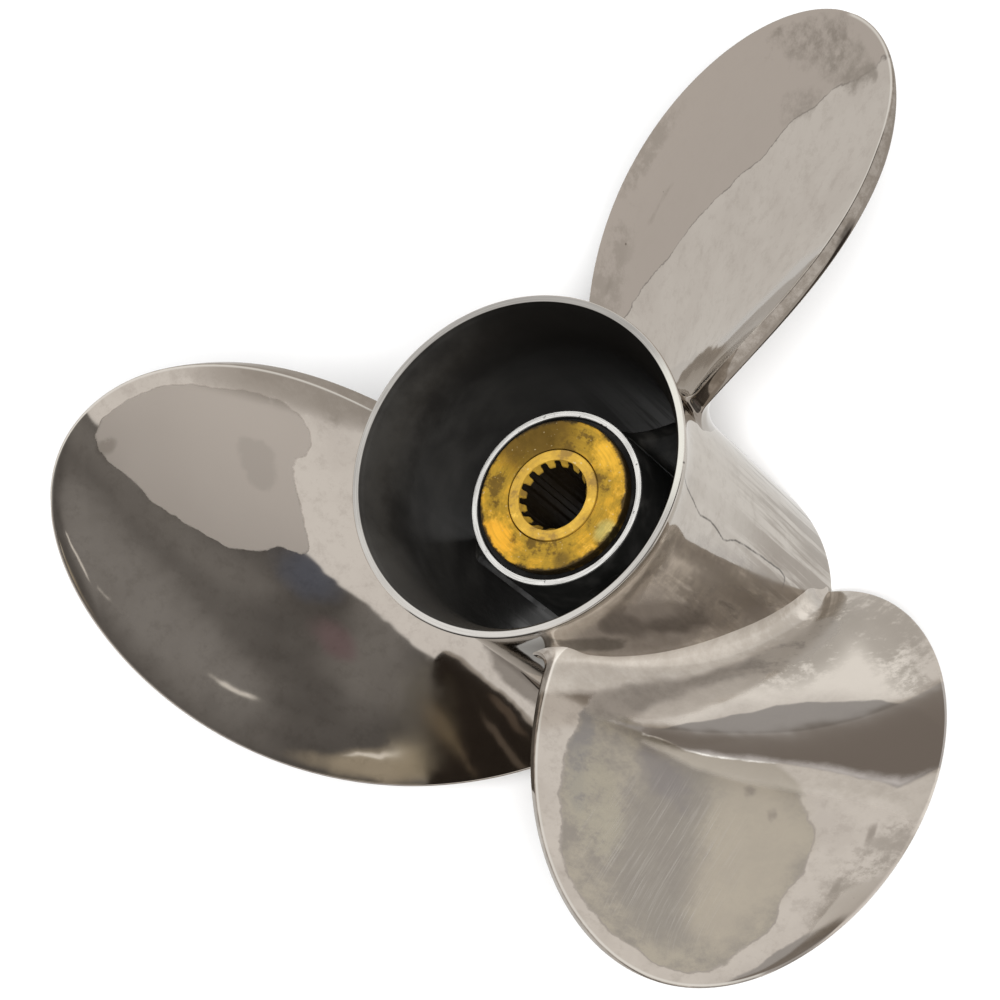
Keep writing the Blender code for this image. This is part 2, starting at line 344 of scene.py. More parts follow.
def rib(name, turn, look, across=30, along=64, round_steps=12):
    """A rib from the hub to the barrel's wall, with a quarter-circle fillet at either end.

    Point (i, j) is at station i from hub to wall, on a closed ring j round the rib's section. The half
    thickness is t + f (1 - sqrt(1 - (1 - d / f)^2)) for d < f, d being the way to the hub or the wall.
    """
    inside = HUB - 0.0007
    outside = BARREL - WALL + 0.0012
    station = np.linspace(0.0, 1.0, across)
    reach = inside + (outside - inside) * (0.5 - 0.5 * np.cos(math.pi * station))
    share = np.clip((reach - HUB) / (BARREL - WALL - HUB), 0.0, 1.0)
    fillet = 0.0032
    half = np.full_like(reach, 0.0024)
    for way in (reach - HUB, BARREL - WALL - reach):
        near = 1.0 - np.clip(way / fillet, 0.0, 1.0)
        half = half + fillet * (1.0 - np.sqrt(np.maximum(1.0 - near ** 2, 0.0)))
    high = HUB_TOP - 0.0102 - 0.0338 * share ** 0.62
    low = np.full_like(high, BOTTOM + 0.0142)
    down = np.linspace(1.0, 0.0, along)[None, :]
    bend = np.linspace(0.0, math.pi, round_steps + 2)[1:-1][None, :]
    nose = 0.0018
    h = half[:, None]
    top = (high - nose)[:, None]
    foot = (low + nose)[:, None]
    side = np.concatenate(
        (np.broadcast_to(h, (across, along)), h * np.cos(bend), np.broadcast_to(-h, (across, along)), -h * np.cos(bend)),
        axis=1,
    )
    height = np.concatenate(
        (foot + (top - foot) * down, foot - nose * np.sin(bend), foot + (top - foot) * (1.0 - down), top + nose * np.sin(bend)),
        axis=1,
    )
    angle = math.radians(90.0 + turn)
    away = np.broadcast_to(reach[:, None], side.shape)
    points = np.stack(
        (
            away * math.cos(angle) - side * math.sin(angle),
            away * math.sin(angle) + side * math.cos(angle),
            height,
        ),
        axis=-1,
    )
    count = side.shape[1]
    ends = [list(range(count)), list(range((across - 1) * count, across * count))]
    return piece(name, points, grid_faces(across, count, True), look, 40.0, ends)


def splined_sleeve(name, look, per_tooth=24, bore_rows=44):
    """The sleeve as rings of points, carried round its section from the outer side over the face and down the bore.

    In the bore the radius is the greater of the lead-in cone and the tooth form, which steps smoothly from
    land to groove and back once in every tooth pitch.
    """
    steps = TEETH * per_tooth
    angle = np.arange(steps) * math.tau / steps
    place = np.abs((angle / (math.tau / TEETH) + 0.5) % 1.0 - 0.5)
    tooth = LAND + (GROOVE - LAND) * (1.0 - smooth(place, 0.185, 0.275))
    edge = 0.0003
    outer = np.concatenate((corner(SLEEVE - edge, SLEEVE_LOW + edge, edge, 0.0)[::-1],
                            corner(SLEEVE - edge, SLEEVE_TOP - edge, edge, 90.0)[::-1]))
    face = np.linspace(SLEEVE - edge, MOUTH + 0.0002, 8)[1:]
    mouth = np.stack((face, np.full_like(face, SLEEVE_TOP)), axis=-1)
    foot = np.stack((face[::-1], np.full_like(face, SLEEVE_LOW)), axis=-1)
    lead = np.linspace(0.0, 0.0030, 12)
    middle = np.linspace(SLEEVE_TOP - 0.0034, SLEEVE_LOW + 0.0034, bore_rows)
    bore_z = np.concatenate((SLEEVE_TOP - 0.0001 - lead, middle, (SLEEVE_LOW + 0.0001 + lead)[::-1]))
    from_end = np.minimum(SLEEVE_TOP - bore_z, bore_z - SLEEVE_LOW)
    cone = MOUTH - (MOUTH - LAND) * from_end / 0.0028
    bore = np.maximum(cone[:, None], tooth[None, :])
    plain_rows = np.concatenate((outer, mouth))
    radius = np.concatenate((
        np.broadcast_to(plain_rows[:, :1], (len(plain_rows), steps)),
        bore,
        np.broadcast_to(foot[:, :1], (len(foot), steps)),
    ))
    height = np.concatenate((plain_rows[:, 1], bore_z, foot[:, 1]))
    points = np.stack(
        (radius * np.cos(angle), radius * np.sin(angle), np.broadcast_to(height[:, None], radius.shape)), axis=-1
    )
    faces = grid_faces(len(radius) + 1, steps, True) % (len(radius) * steps)
    made = piece(name, points, faces, look, 24.0)
    deep = np.zeros(radius.shape)
    first = len(plain_rows)
    below_cone = tooth[None, :] - cone[:, None] > 0.00012
    deep[first:first + len(bore_z)] = np.maximum(below_cone, smooth(from_end, 0.0022, 0.0031)[:, None])
    carry(made, "bore", deep.ravel())
    return made


def end_plate_profile():
    """The plate's ring, its face a little lower in the middle of its width than at its two edges."""
    inner = SLEEVE + 0.0003
    share = np.linspace(1.0, 0.0, 14)
    edge = 0.0005
    face_r = inner + 0.0003 + (PLATE - edge - inner - 0.0003) * share
    dip = 0.00012 * 4.0 * share * (1.0 - share)
    face = np.stack((face_r, PLATE_TOP - dip), axis=-1)[1:-1][::-1]
    return np.concatenate(
        (
            corner(PLATE - edge, PLATE_TOP - edge, edge, 90.0),
            corner(PLATE - edge, PLATE_LOW + edge, edge, 0.0),
            corner(inner + 0.0003, PLATE_LOW + 0.0003, 0.0003, -90.0),
            corner(inner + 0.0003, PLATE_TOP - 0.0003, 0.0003, -180.0),
            face,
        )
    )


def bushing_profile():
    """The rubber's ring, both of its end faces hollowed as 4 u (1 - u) between hub and sleeve."""
    outer = HUB_BORE - 0.0001
    inner = SLEEVE + 0.0001
    high = PLATE_LOW - 0.0003
    low = SLEEVE_LOW + 0.0040
    share = np.linspace(0.0, 1.0, 20)
    across = inner + (outer - inner) * share
    top = np.stack((across, high - 0.0010 * 4.0 * share * (1.0 - share)), axis=-1)
    foot = np.stack((across, low + 0.0014 * 4.0 * share * (1.0 - share)), axis=-1)[::-1]
    return np.concatenate((top, foot))


# ---- Finishes ----


class Finish:
    """One material. Every input takes a number, a colour or another node's output."""

    def __init__(self, name, metallic, roughness, specular=0.5):
        self.material = bpy.data.materials.new(name)
        self.material.use_nodes = True
        self.tree = self.material.node_tree
        self.shader = self.tree.nodes["Principled BSDF"]
        self.shader.inputs["Metallic"].default_value = metallic
        self.shader.inputs["Roughness"].default_value = roughness
        self.shader.inputs["Specular IOR Level"].default_value = specular
        self.object = self.make("ShaderNodeTexCoord").outputs["Object"]

    def make(self, kind, **settings):
        made = self.tree.nodes.new(kind)
        for key, value in settings.items():
            setattr(made, key, value)
        return made

    def feed(self, socket, value):
        if isinstance(value, bpy.types.NodeSocket):
            self.tree.links.new(value, socket)
        else:
            socket.default_value = value

    def do(self, operation, a, b=0.0, c=0.0):
        made = self.make("ShaderNodeMath", operation=operation)
        for socket, value in zip(made.inputs, (a, b, c)):
            self.feed(socket, value)
        return made.outputs[0]

    def times(self, *values):
        """The product of all the values."""
        total = values[0]
        for value in values[1:]:
            total = self.do("MULTIPLY", total, value)
        return total

    def read(self, name):
        """A value that the piece carries on its points: the number itself, or x, y and z of three."""
        made = self.make("ShaderNodeAttribute", attribute_name=name)
        parts = self.make("ShaderNodeSeparateXYZ")
        self.feed(parts.inputs[0], made.outputs["Vector"])
        return made.outputs["Fac"], made.outputs["Vector"], parts.outputs

    def stretch(self, vector, scale):
        made = self.make("ShaderNodeMapping")
        self.feed(made.inputs["Vector"], vector)
        made.inputs["Scale"].default_value = scale
        return made.outputs[0]

    def noise(self, scale, detail=4.0, rough=0.55, at=None, twist=0.0):
        made = self.make("ShaderNodeTexNoise")
        self.feed(made.inputs["Vector"], self.object if at is None else at)
        made.inputs["Scale"].default_value = scale
        made.inputs["Detail"].default_value = detail
        made.inputs["Roughness"].default_value = rough
        made.inputs["Distortion"].default_value = twist
        return made.outputs["Fac"]

    def rings(self, across, around):
        """Fine turning marks: a noise that changes fast with the radius and slowly round the axis."""
        flat = self.stretch(self.object, (1.0, 1.0, 0.0))
        radius = self.make("ShaderNodeVectorMath", operation="LENGTH")
        self.feed(radius.inputs[0], flat)
        parts = self.make("ShaderNodeSeparateXYZ")
        self.feed(parts.inputs[0], flat)
        place = self.make("ShaderNodeCombineXYZ")
        self.feed(place.inputs["X"], self.times(radius.outputs["Value"], across))
        self.feed(place.inputs["Y"], self.times(self.do("ARCTAN2", parts.outputs["Y"], parts.outputs["X"]), around))
        return self.noise(1.0, 3.0, 0.6, at=place.outputs[0])

    def step(self, value, low, high, bottom=0.0, top=1.0):
        """bottom below low, top above high, and an even S between them."""
        made = self.make("ShaderNodeMapRange", interpolation_type="SMOOTHSTEP")
        for name, number in (("From Min", low), ("From Max", high), ("To Min", bottom), ("To Max", top)):
            made.inputs[name].default_value = number
        self.feed(made.inputs["Value"], value)
        return made.outputs[0]

    def line(self, value, level, width):
        """A thin line where a value crosses a level."""
        away = self.do("ABSOLUTE", self.do("SUBTRACT", value, level))
        return self.step(away, 0.0, width, 1.0, 0.0)

    def oval(self, x, y, centre, size, power=2.0):
        """|dx / size|^power + |dy / size|^power, which is 1 on the oval's edge."""
        parts = []
        for value, middle, half in ((x, centre[0], size[0]), (y, centre[1], size[1])):
            far = self.do("ABSOLUTE", self.do("DIVIDE", self.do("SUBTRACT", value, middle), half))
            parts.append(self.do("POWER", far, power))
        return self.do("ADD", *parts)

    def blend(self, amount, a, b, way="MIX"):
        made = self.make("ShaderNodeMix", data_type="RGBA", blend_type=way)
        self.feed(made.inputs["Factor"], amount)
        self.feed(made.inputs[6], a)
        self.feed(made.inputs[7], b)
        return made.outputs[2]

    def bump(self, height, depth, over=None):
        made = self.make("ShaderNodeBump")
        made.inputs["Strength"].default_value = 1.0
        made.inputs["Distance"].default_value = depth
        self.feed(made.inputs["Height"], height)
        if over is not None:
            self.feed(made.inputs["Normal"], over)
        return made.outputs[0]

    def set(self, name, value):
        self.feed(self.shader.inputs[name], value)

    def paint_marks(self, colour, roughness, marks):
        """Films and bands inside their drawn outlines, and thin broken lines along them.

        A mark with a lean shows only where the patchy noise is high, and one that is dull mirrors less. One
        with a beside keeps its line to where its outline runs along that of the mark named there, and one
        with a within to the inside of the mark named there.
        """
        wander = self.do("SUBTRACT", self.noise(105.0, 5.0, 0.62), 0.5)
        mirror = 1.0
        for name, mark in marks.items():
            field = self.do("ADD", self.read(name)[0], self.times(wander, mark.get("wobble", 0.006)))
            if "tint" in mark:
                soft = mark.get("soft", 0.0004)
                inside = self.step(field, -soft, soft, mark.get("amount", 1.0), 0.0)
                if "lean" in mark:
                    inside = self.times(inside, self.step(self.patchy, *mark["lean"]))
                tint = mark["tint"]
                if "other" in mark:
                    tint = self.blend(self.step(self.patchy, 0.38, 0.62), tint, mark["other"])
                colour = self.blend(inside, colour, tint)
                roughness = self.do("ADD", roughness, self.times(inside, mark.get("rough", 0.0)))
                if "dull" in mark:
                    mirror = self.times(mirror, self.do("SUBTRACT", 1.0, self.times(inside, mark["dull"])))
            if "line" in mark:
                width, line_tint, strength = mark["line"]
                shown = self.step(self.grain, 0.36, 0.56, 0.35 * strength, strength)
                if "beside" in mark:
                    shown = self.times(shown, self.line(self.read(mark["beside"])[0], 0.0, 0.0026))
                if "within" in mark:
                    shown = self.times(shown, self.step(self.read(mark["within"])[0], -0.0006, 0.0006, 1.0, 0.0))
                colour = self.blend(self.times(self.line(field, 0.0, width), shown), colour, line_tint)
        return colour, roughness, mirror


CLEAN = (0.530, 0.480, 0.430, 1.0)
BRIGHT = (0.640, 0.580, 0.510, 1.0)
FILM = (0.410, 0.360, 0.316, 1.0)
TARNISH = (0.300, 0.260, 0.222, 1.0)
# The colour of a deep painted shade.
DEEP_SHADE = (0.190, 0.163, 0.140, 1.0)


def steel_start(name, base=CLEAN):
    """Polished cast steel: a faint cloud in its colour, and the low waves that polishing by hand leaves."""
    finish = Finish(name, 1.0, 0.05, 0.3)
    finish.shader.inputs["Specular Tint"].default_value = (0.88, 0.865, 0.84, 1.0)
    finish.cloud = finish.noise(38.0, 5.0, 0.62)
    finish.grain = finish.noise(190.0, 5.0, 0.74)
    finish.patchy = finish.do("ADD", finish.times(finish.cloud, 0.5), finish.times(finish.grain, 0.5))
    colour = finish.blend(finish.step(finish.cloud, 0.38, 0.66, 0.0, 0.30), base, FILM)
    colour = finish.blend(finish.step(finish.grain, 0.46, 0.70, 0.0, 0.26), colour, TARNISH)
    normal = finish.bump(finish.noise(62.0, 2.0, 0.30), 0.00014)
    return finish, colour, normal


def speckled(finish, colour, scale=95.0, size=0.055, amount=0.7):
    """Small dark pits, one in some of the cells of a cell pattern."""
    cells = finish.make("ShaderNodeTexVoronoi")
    finish.feed(cells.inputs["Vector"], finish.object)
    cells.inputs["Scale"].default_value = scale
    tone = finish.make("ShaderNodeSeparateColor")
    finish.feed(tone.inputs[0], cells.outputs["Color"])
    chosen = finish.step(tone.outputs[0], 0.80, 0.82)
    dot = finish.step(cells.outputs["Distance"], size * 0.5, size, 1.0, 0.0)
    return finish.blend(finish.times(dot, chosen, amount), colour, (0.10, 0.075, 0.055, 1.0))


def blade_finish(number, marks, blotches, polish, hairlines, base=CLEAN, forward=TARNISH):
    """A blade's steel with its marks: films and bands inside drawn outlines, lines along them, and blotches.

    The marks lie on the aft face alone; some are painted shade, painted light and painted reflections, and a painted
    highlight runs along the edges of the trailing half. The forward face is darker all over, a painted shade.
    """
    finish, colour, normal = steel_start("polished_steel_blade_%d" % number, base)
    _, place, parts = finish.read("place")
    share, reach, face = parts
    # Painted shade: the forward face takes the darker forward colour.
    colour = finish.blend(finish.step(face, -0.2, 0.2, 0.9, 0.0), colour, forward)
    colour, roughness, mirror = finish.paint_marks(colour, polish, marks)
    for centre, size, threshold, tint, amount in blotches:
        near = finish.step(finish.oval(share, reach, centre, size, 2.0), 0.15, 1.20, 1.0, 0.0)
        field = finish.do("ADD", finish.patchy, finish.times(near, 0.10))
        spread = finish.times(near, finish.step(field, threshold, threshold + 0.13), amount)
        colour = finish.blend(spread, colour, tint)
        roughness = finish.do("ADD", roughness, finish.times(spread, 0.10))
    # A painted highlight: a pale line a little in from the edges of the trailing half, on the aft face.
    painted_edge_highlight = finish.times(finish.line(finish.read("edge_way")[0], 0.0007, 0.0007),
                             finish.step(share, 0.35, 0.55, 0.75, 0.0), finish.step(face, -0.2, 0.2))
    colour = finish.blend(painted_edge_highlight, colour, (0.76, 0.72, 0.66, 1.0))
    blunt, _, _ = finish.read("blunt_edge")
    colour = finish.blend(finish.times(blunt, finish.step(finish.grain, 0.36, 0.62, 0.45, 0.95)), colour,
                          (0.270, 0.232, 0.196, 1.0))
    colour = speckled(finish, colour)
    swirl = finish.make("ShaderNodeCombineXYZ")
    finish.feed(swirl.inputs["X"], finish.do("ADD", share, finish.times(reach, reach, 0.75)))
    finish.feed(swirl.inputs["Y"], finish.do("SUBTRACT", reach, share))
    strands = finish.noise(1.0, 4.0, 0.66, at=finish.stretch(swirl.outputs[0], (150.0, 4.5, 1.0)))
    worn = finish.step(finish.oval(share, reach, (0.24, 0.72), (0.20, 0.21), 2.0), 0.2, 1.1, hairlines, 0.06)
    scratch = finish.times(finish.step(strands, 0.48, 0.72), worn)
    colour = finish.blend(finish.times(scratch, 0.45), colour, (0.58, 0.54, 0.50, 1.0))
    roughness = finish.do("ADD", roughness, finish.times(scratch, 0.12))
    finish.set("Base Color", colour)
    finish.set("Metallic", mirror)
    finish.set("Roughness", roughness)
    finish.set("Normal", normal)
    return finish.material


def barrel_finish(marks):
    """Polished outside with streaks round the forward end and marks of painted reflection and painted shade, a brushed
    rim face with painted light, painted shade and a painted highlight, and soot in the bore that is lighter to one side
    and darker to the other as painted light and shade.
    """
    finish, colour, normal = steel_start("polished_steel_barrel", (0.620, 0.575, 0.525, 1.0))
    bore, _, _ = finish.read("bore")
    rim, _, _ = finish.read("rim_face")
    parts = finish.make("ShaderNodeSeparateXYZ")
    finish.feed(parts.inputs[0], finish.object)
    x, y, height = parts.outputs
    streaks = finish.noise(1.0, 5.0, 0.66, at=finish.stretch(finish.object, (210.0, 210.0, 9.0)))
    low = finish.step(height, -0.030, 0.030, 1.0, 0.10)
    dirty = finish.times(finish.step(streaks, 0.44, 0.58), low)
    colour = finish.blend(finish.times(dirty, 0.80), colour, TARNISH)
    colour, roughness, _ = finish.paint_marks(colour, finish.do("ADD", 0.06, finish.times(dirty, 0.14)), marks)
    colour = speckled(finish, colour)
    brushed = finish.rings(2600.0, 2.5)
    rim_brushing_and_painted_light = finish.blend(finish.step(brushed, 0.35, 0.65), (0.44, 0.42, 0.395, 1.0), (0.60, 0.58, 0.55, 1.0))
    # Painted light and shade: the rim face is lighter towards one side and darker towards the other.
    upward = finish.do("SUBTRACT", finish.times(y, 0.88), finish.times(x, 0.47))
    rim_brushing_and_painted_light = finish.blend(finish.step(upward, -0.056, -0.010, 0.55, 0.0), rim_brushing_and_painted_light, (0.82, 0.79, 0.75, 1.0))
    rim_brushing_and_painted_light = finish.blend(finish.step(upward, 0.010, 0.056, 0.0, 0.45), rim_brushing_and_painted_light, (0.28, 0.265, 0.25, 1.0))
    # A painted highlight: a pale cream patch on one part of the rim face.
    rim_painted_highlight = finish.step(finish.oval(x, y, (0.042, 0.034), (0.032, 0.030)), 0.1, 1.0, 0.85, 0.0)
    rim_brushing_and_painted_light = finish.blend(rim_painted_highlight, rim_brushing_and_painted_light, (0.92, 0.90, 0.82, 1.0))
    colour = finish.blend(rim, colour, rim_brushing_and_painted_light)
    dust = finish.step(finish.cloud, 0.35, 0.70)
    soot = finish.blend(dust, (0.015, 0.014, 0.013, 1.0), (0.036, 0.034, 0.031, 1.0))
    # Painted light: the soot in the bore is lighter towards one side.
    soot = finish.blend(finish.step(y, -0.050, -0.036, 0.45, 0.0), soot, (0.090, 0.085, 0.078, 1.0))
    # Painted shade: the soot is nearly black across the other side, where the bore also mirrors less.
    across = finish.do("ADD", finish.times(x, 0.55), finish.times(y, 0.83))
    shaded = finish.step(across, -0.030, 0.020)
    soot = finish.blend(finish.times(shaded, 0.92), soot, (0.0050, 0.0045, 0.0040, 1.0))
    colour = finish.blend(bore, colour, soot)
    roughness = finish.do("ADD", roughness, finish.times(rim, 0.24))
    roughness = finish.do("ADD", roughness, finish.times(bore, 0.34))
    finish.set("Base Color", colour)
    finish.set("Roughness", roughness)
    finish.set("Metallic", finish.do("SUBTRACT", 1.0, finish.times(bore, 0.95)))
    finish.set("Specular IOR Level", finish.do("SUBTRACT", 0.3, finish.times(bore, shaded, 0.27)))
    finish.set("Normal", normal)
    return finish.material


def hub_finish():
    """Sooty sides, and a machined face that is still bright, with a few pits in it."""
    finish, colour, normal = steel_start("machined_hub_face")
    face, _, _ = finish.read("face")
    pits = finish.step(finish.noise(420.0, 4.0, 0.6), 0.63, 0.70)
    turned_face = finish.blend(finish.step(finish.rings(3200.0, 3.0), 0.35, 0.65), (0.60, 0.59, 0.57, 1.0),
                               (0.92, 0.91, 0.88, 1.0))
    bright = finish.blend(finish.times(pits, 0.85), turned_face, (0.10, 0.095, 0.09, 1.0))
    dust = finish.step(finish.noise(90.0, 4.0, 0.6), 0.45, 0.75)
    soot = finish.blend(dust, (0.012, 0.012, 0.011, 1.0), (0.045, 0.043, 0.040, 1.0))
    finish.set("Base Color", finish.blend(face, soot, bright))
    finish.set("Metallic", finish.step(face, 0.2, 0.8, 0.05, 1.0))
    finish.set("Roughness", finish.step(face, 0.2, 0.8, 0.46, 0.24))
    finish.set("Normal", normal)
    return finish.material


def rib_finish():
    """Cast steel under the same soot as the bore."""
    finish = Finish("sooty_cast_steel", 0.1, 0.5)
    dust = finish.step(finish.noise(85.0, 6.0, 0.62), 0.42, 0.72)
    finish.set("Base Color", finish.blend(dust, (0.012, 0.012, 0.011, 1.0), (0.050, 0.047, 0.042, 1.0)))
    finish.set("Roughness", finish.step(finish.noise(160.0), 0.3, 0.7, 0.42, 0.62))
    finish.set("Normal", finish.bump(finish.noise(260.0, 5.0, 0.6), 0.00012))
    return finish.material


def brass_finish(name, gold, olive, brown, worn, places=(), black_bore=False):
    """Tarnished brass: gold worn bright in patches, under olive and brown tarnish with pale specks.

    Places are ovals of another tint. Where the piece carries a value for its bore, the bore and its grooves are
    coloured black.
    """
    finish = Finish(name, 0.85, 0.34)
    broad = finish.noise(75.0, 5.0, 0.70)
    patch = finish.noise(170.0, 4.0, 0.68)
    both = finish.do("ADD", finish.times(broad, 0.65), finish.times(patch, 0.35))
    colour = finish.blend(finish.step(both, 0.43, 0.53), gold, olive)
    colour = finish.blend(finish.step(both, 0.53, 0.60, 0.0, 0.85), colour, brown)
    colour = finish.blend(finish.step(broad, 0.44, 0.36), colour, worn)
    parts = finish.make("ShaderNodeSeparateXYZ")
    finish.feed(parts.inputs[0], finish.object)
    for centre, size, tint, amount in places:
        field = finish.do("ADD", finish.oval(parts.outputs[0], parts.outputs[1], centre, size), finish.times(both, 3.0))
        colour = finish.blend(finish.step(field, 1.55, 2.45, amount, 0.0), colour, tint)
    turned_marks = finish.step(finish.rings(1500.0, 1.6), 0.40, 0.66, 0.0, 0.20)
    colour = finish.blend(turned_marks, colour, brown)
    specks = finish.step(finish.noise(800.0, 1.0, 0.5), 0.70, 0.76, 0.0, 0.6)
    colour = finish.blend(specks, colour, (0.66, 0.52, 0.27, 1.0))
    radius = finish.make("ShaderNodeVectorMath", operation="LENGTH")
    finish.feed(radius.inputs[0], finish.stretch(finish.object, (1.0, 1.0, 0.0)))
    ragged = finish.do("ADD", radius.outputs["Value"], finish.times(finish.do("SUBTRACT", patch, 0.5), 0.0050))
    colour = finish.blend(finish.step(ragged, 0.0238, 0.0250, 0.0, 0.92), colour, (0.045, 0.032, 0.018, 1.0))
    if black_bore:
        bore, _, _ = finish.read("bore")
        colour = finish.blend(bore, colour, (0.010, 0.007, 0.004, 1.0))
        finish.set("Metallic", finish.step(bore, 0.0, 1.0, 0.45, 0.0))
    finish.set("Base Color", colour)
    finish.set("Roughness", finish.step(patch, 0.35, 0.70, 0.28, 0.52))
    finish.set("Normal", finish.bump(finish.noise(230.0, 4.0, 0.6), 0.00006))
    return finish.material


def rubber_finish():
    """Black rubber, dulled by a grey bloom."""
    finish = Finish("bushing_rubber", 0.0, 0.72)
    bloom = finish.step(finish.noise(140.0, 6.0, 0.6), 0.45, 0.75)
    finish.set("Base Color", finish.blend(bloom, (0.006, 0.006, 0.006, 1.0), (0.022, 0.020, 0.018, 1.0)))
    finish.set("Roughness", finish.step(bloom, 0.0, 1.0, 0.62, 0.82))
    finish.set("Normal", finish.bump(finish.noise(500.0, 4.0, 0.6), 0.00004))
    return finish.material


# ---- Stage ----


def aim(obj, place, right, down, forward):
    """Turns an object so that it looks along forward, with the given right and down."""
    turn = np.eye(4)
    turn[:3, 0] = right
    turn[:3, 1] = -np.array(down)
    turn[:3, 2] = -np.array(forward)
    turn[:3, 3] = place
    obj.matrix_world = Matrix(turn.tolist())


def make_camera():
    lens = bpy.data.cameras.new("camera")
    lens.lens = 143.18
    lens.sensor_width = 36.0
    lens.clip_end = 50.0
    camera = bpy.data.objects.new("camera", lens)
    bpy.context.scene.collection.objects.link(camera)
    aim(
        camera,
        (0.63777768, -0.08502379, 1.11097739),
        (0.73144412, 0.54585375, -0.40869693),
        (0.44042924, -0.83573727, -0.32797150),
        (-0.52058773, 0.05989075, -0.85170506),
    )
    bpy.context.scene.camera = camera


def make_floor():
    """A pale floor, just below the forward end on which the propeller stands."""
    finish = Finish("pale_floor", 0.0, 0.7, 0.2)
    finish.set("Base Color", finish.blend(finish.noise(3.0), (0.90, 0.90, 0.90, 1.0), (0.92, 0.92, 0.92, 1.0)))
    size = 4.0
    points = np.array([[-size, -size, 0], [size, -size, 0], [size, size, 0], [-size, size, 0]], float)
    points[:, 2] = BOTTOM - 0.0002
    floor = piece("floor", points, np.array([[0, 1, 2, 3]]), finish.material)
    floor.visible_glossy = False


class Surroundings(Finish):
    """A material of pure light, drawn by azimuth and elevation in degrees."""

    def __init__(self, name):
        super().__init__(name, 0.0, 1.0)
        self.light = self.make("ShaderNodeEmission")
        self.tree.links.new(self.light.outputs[0], self.tree.nodes["Material Output"].inputs["Surface"])
        self.tree.nodes.remove(self.shader)
        direction = self.make("ShaderNodeVectorMath", operation="NORMALIZE")
        self.feed(direction.inputs[0], self.object)
        self.object = direction.outputs[0]
        parts = self.make("ShaderNodeSeparateXYZ")
        self.feed(parts.inputs[0], self.object)
        x, y, z = parts.outputs
        self.azimuth = self.times(self.do("ARCTAN2", y, x), 180.0 / math.pi)
        self.elevation = self.times(self.do("ARCSINE", z), 180.0 / math.pi)

    def patch(self, colour, centre, size, core, tint, power=2.0, lean=0.0):
        """Blends a tint into an oval round a direction, full out to the core and gone at the edge.

        The oval leans by so many degrees of elevation to each degree of azimuth.
        """
        level = self.elevation
        if lean:
            level = self.do("SUBTRACT", level, self.times(self.do("SUBTRACT", self.azimuth, centre[0]), lean))
        field = self.oval(self.azimuth, level, centre, size, power)
        return self.blend(self.step(field, core, 1.0, 1.0, 0.0), colour, tint)


def make_tent():
    """A pale tent that only the gloss of the object sees, open on the camera's side to a dark room with lamps.

    It is a sphere of 20 m, so that what is drawn on it stays where it is as seen from any point of the object.
    Its lower half is what the gloss sees of the ground.
    """
    sky = Surroundings("tent_light")
    tent = sky.blend(sky.step(sky.elevation, 0.0, 35.0), (0.915, 0.915, 0.91, 1.0), (0.965, 0.96, 0.95, 1.0))
    tent = sky.patch(tent, (74.0, -5.0), (32.0, 12.0), 0.45, (0.76, 0.74, 0.71, 1.0), 4.0)
    edge = sky.do("ADD", sky.times(sky.do("ADD", sky.azimuth, 56.0), 0.31), sky.elevation)
    opening = sky.times(
        sky.step(sky.azimuth, -61.5, -60.5),
        sky.step(sky.azimuth, 40.0, 48.0, 1.0, 0.0),
        sky.step(edge, 41.4, 42.4),
        sky.step(sky.elevation, 84.0, 88.0, 1.0, 0.0),
    )
    shapes = sky.noise(2.6, 2.0, 0.45)
    room = sky.blend(sky.step(shapes, 0.38, 0.66), (0.125, 0.120, 0.116, 1.0), (0.235, 0.229, 0.222, 1.0))
    room = sky.patch(room, (-22.0, 67.0), (42.0, 9.0), 0.1, (0.30, 0.295, 0.29, 1.0))
    room = sky.patch(room, (-50.0, 43.0), (10.0, 6.5), 0.0, (0.125, 0.138, 0.175, 1.0))
    room = sky.patch(room, (-31.0, 46.0), (9.0, 4.0), 0.0, (0.215, 0.165, 0.175, 1.0))
    room = sky.patch(room, (16.0, 50.0), (9.0, 11.0), 0.25, (0.47, 0.42, 0.33, 1.0))
    room = sky.patch(room, (11.0, 51.0), (1.2, 5.0), 0.2, (1.10, 1.08, 1.0, 1.0))
    room = sky.patch(room, (-6.5, 62.0), (2.1, 1.1), 0.0, (1.05, 1.04, 1.0, 1.0), lean=0.27)
    ground = sky.patch(tent, (-55.0, -16.0), (62.0, 19.0), 0.75, (0.09, 0.082, 0.075, 1.0), 4.0)
    ground = sky.patch(ground, (-36.0, -22.0), (5.0, 4.0), 0.2, (0.42, 0.39, 0.35, 1.0))
    ground = sky.patch(ground, (-16.0, -11.0), (9.0, 5.0), 0.2, (0.33, 0.29, 0.25, 1.0))
    ground = sky.patch(ground, (-75.0, -24.0), (6.0, 3.0), 0.2, (1.05, 0.95, 0.74, 1.0))
    around = sky.blend(sky.step(sky.elevation, -0.5, 0.5), ground, tent)
    sky.feed(sky.light.inputs["Color"], sky.blend(opening, around, room))
    sky.material.cycles.emission_sampling = "NONE"
    up = np.linspace(-math.pi / 2.0, math.pi / 2.0, 49)[:, None]
    around = np.arange(96)[None, :] * math.tau / 96
    points = 20.0 * np.stack(
        (np.cos(up) * np.cos(around), np.cos(up) * np.sin(around), np.sin(up) + 0.0 * around), axis=-1
    )
    tent = piece("tent", points, grid_faces(49, 96, True), sky.material)
    tent.visible_camera = False
    tent.visible_diffuse = False
    tent.visible_shadow = False
    tent.visible_transmission = False


def make_world():
    """The pale surroundings that light the scene evenly, and that the camera sees past the floor."""
    world = bpy.data.worlds.new("studio")
    bpy.context.scene.world = world
    world.use_nodes = True
    world.node_tree.nodes["Background"].inputs["Color"].default_value = (0.50, 0.50, 0.50, 1.0)


